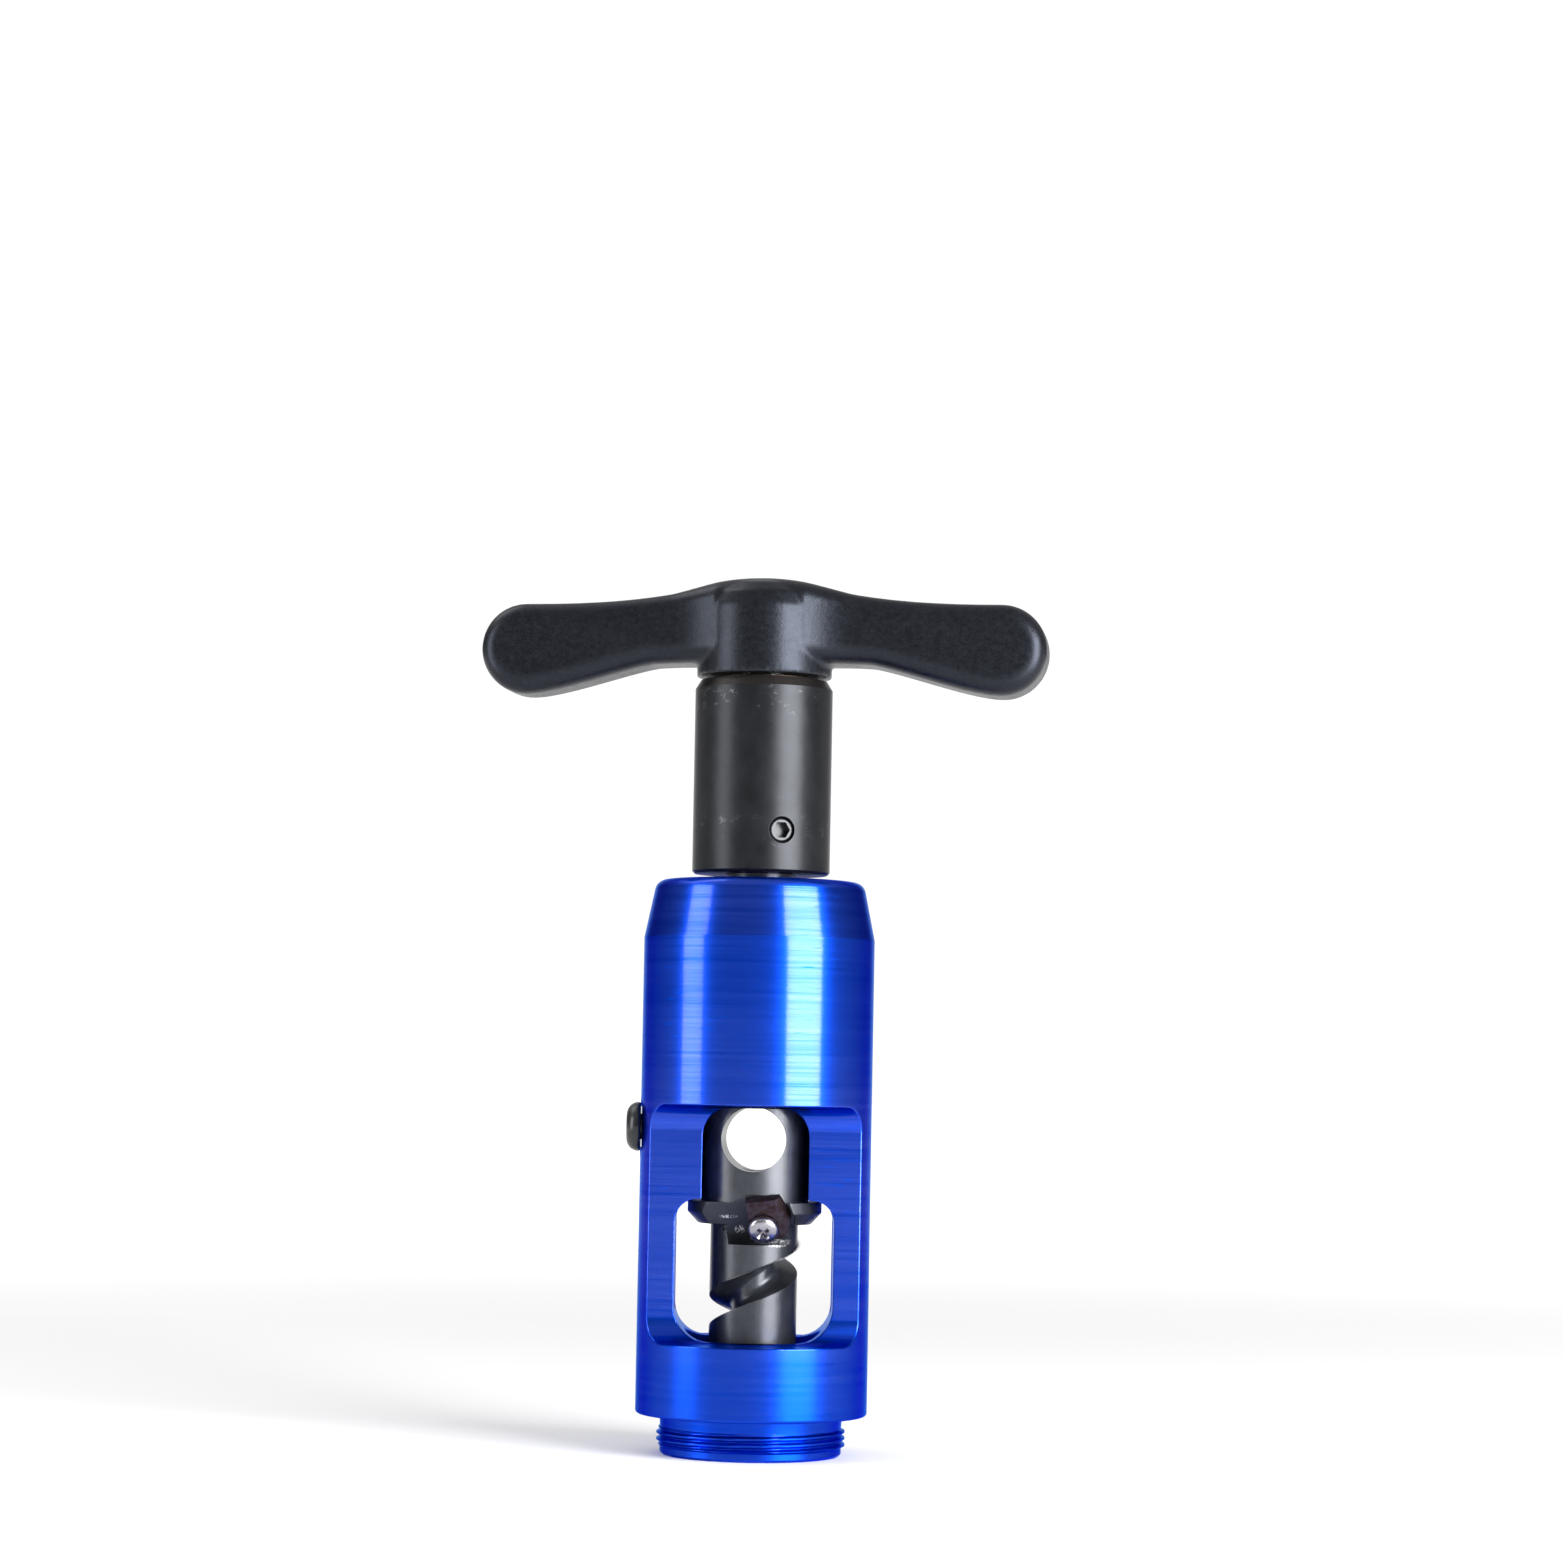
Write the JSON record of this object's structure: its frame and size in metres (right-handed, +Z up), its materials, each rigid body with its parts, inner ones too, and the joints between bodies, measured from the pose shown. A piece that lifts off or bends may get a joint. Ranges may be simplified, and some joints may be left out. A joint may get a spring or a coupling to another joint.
{
  "type": "coaxial cable coring and stripping tool",
  "caption": "T-handled tubular tool with a windowed threaded-nose body, a fluted coring arbor, a strip blade on its flange and a one-way clutch under the handle.",
  "frame": {"origin": "centre of the flat nose end face, on which the tool stands", "axes": "+Z up the tool's axis from the nose to the handle; -Y is the front, where the arbor and the strip blade show through the window; +X is to the right of the front"},
  "size_m": [0.1112, 0.045, 0.1702],
  "materials": {
    "blue_anodised": "glossy blue anodised, turned",
    "black_oxide_steel": "black oxide, oiled",
    "collar_steel": "satin black oxide with scuffs",
    "black_nylon": "moulded, glass-filled, fine grain",
    "blade_steel": "brown-black heat-treated",
    "bright_steel": "bright plated or ground",
    "bronze": "sintered",
    "cage_nylon": "moulded"
  },
  "bodies": {
    "tool_body": {"housing": "blue_anodised", "retaining_screw": "black_oxide_steel", "arbor": "black_oxide_steel", "strip_blade": "blade_steel", "strip_blade_screw": "bright_steel", "drive_collar": "collar_steel", "collar_set_screw": "black_oxide_steel", "clutch_cup": "bright_steel", "clutch_cage": "cage_nylon", "clutch_spring_1": "bright_steel", "clutch_spring_2": "bright_steel", "clutch_spring_3": "bright_steel", "clutch_spring_4": "bright_steel", "clutch_spring_5": "bright_steel", "clutch_spring_6": "bright_steel", "stud_bush": "bronze", "thrust_washer_lower": "bronze", "thrust_washer_upper": "bronze", "cartridge_ring": "bright_steel"},
    "handle": {"t_handle": "black_nylon", "handle_stud": "bright_steel", "stud_ring": "bright_steel"},
    "roller_1": {"clutch_roller_1": "bright_steel"},
    "roller_2": {"clutch_roller_2": "bright_steel"},
    "roller_3": {"clutch_roller_3": "bright_steel"},
    "roller_4": {"clutch_roller_4": "bright_steel"},
    "roller_5": {"clutch_roller_5": "bright_steel"},
    "roller_6": {"clutch_roller_6": "bright_steel"}
  },
  "joints": [
    {"name": "handle_spin", "type": "hinge", "parent": "tool_body", "child": "handle", "pos_m": [0, 0, 0.1512], "axis": [0, 0, 1], "continuous": true},
    {"name": "roller_1_spin", "type": "hinge", "parent": "tool_body", "child": "roller_1", "pos_m": [0.00769, -0.00095, 0.14015], "axis": [0, 0, 1], "continuous": true},
    {"name": "roller_2_spin", "type": "hinge", "parent": "tool_body", "child": "roller_2", "pos_m": [0.00467, 0.00619, 0.14015], "axis": [0, 0, 1], "continuous": true},
    {"name": "roller_3_spin", "type": "hinge", "parent": "tool_body", "child": "roller_3", "pos_m": [-0.00302, 0.00714, 0.14015], "axis": [0, 0, 1], "continuous": true},
    {"name": "roller_4_spin", "type": "hinge", "parent": "tool_body", "child": "roller_4", "pos_m": [-0.00769, 0.00095, 0.14015], "axis": [0, 0, 1], "continuous": true},
    {"name": "roller_5_spin", "type": "hinge", "parent": "tool_body", "child": "roller_5", "pos_m": [-0.00467, -0.00619, 0.14015], "axis": [0, 0, 1], "continuous": true},
    {"name": "roller_6_spin", "type": "hinge", "parent": "tool_body", "child": "roller_6", "pos_m": [0.00302, -0.00714, 0.14015], "axis": [0, 0, 1], "continuous": true}
  ],
  "couplings": [
    {"joint": "roller_1_spin", "follows": "handle_spin", "ratio": -4.8846},
    {"joint": "roller_2_spin", "follows": "handle_spin", "ratio": -4.8846},
    {"joint": "roller_3_spin", "follows": "handle_spin", "ratio": -4.8846},
    {"joint": "roller_4_spin", "follows": "handle_spin", "ratio": -4.8846},
    {"joint": "roller_5_spin", "follows": "handle_spin", "ratio": -4.8846},
    {"joint": "roller_6_spin", "follows": "handle_spin", "ratio": -4.8846}
  ]
}
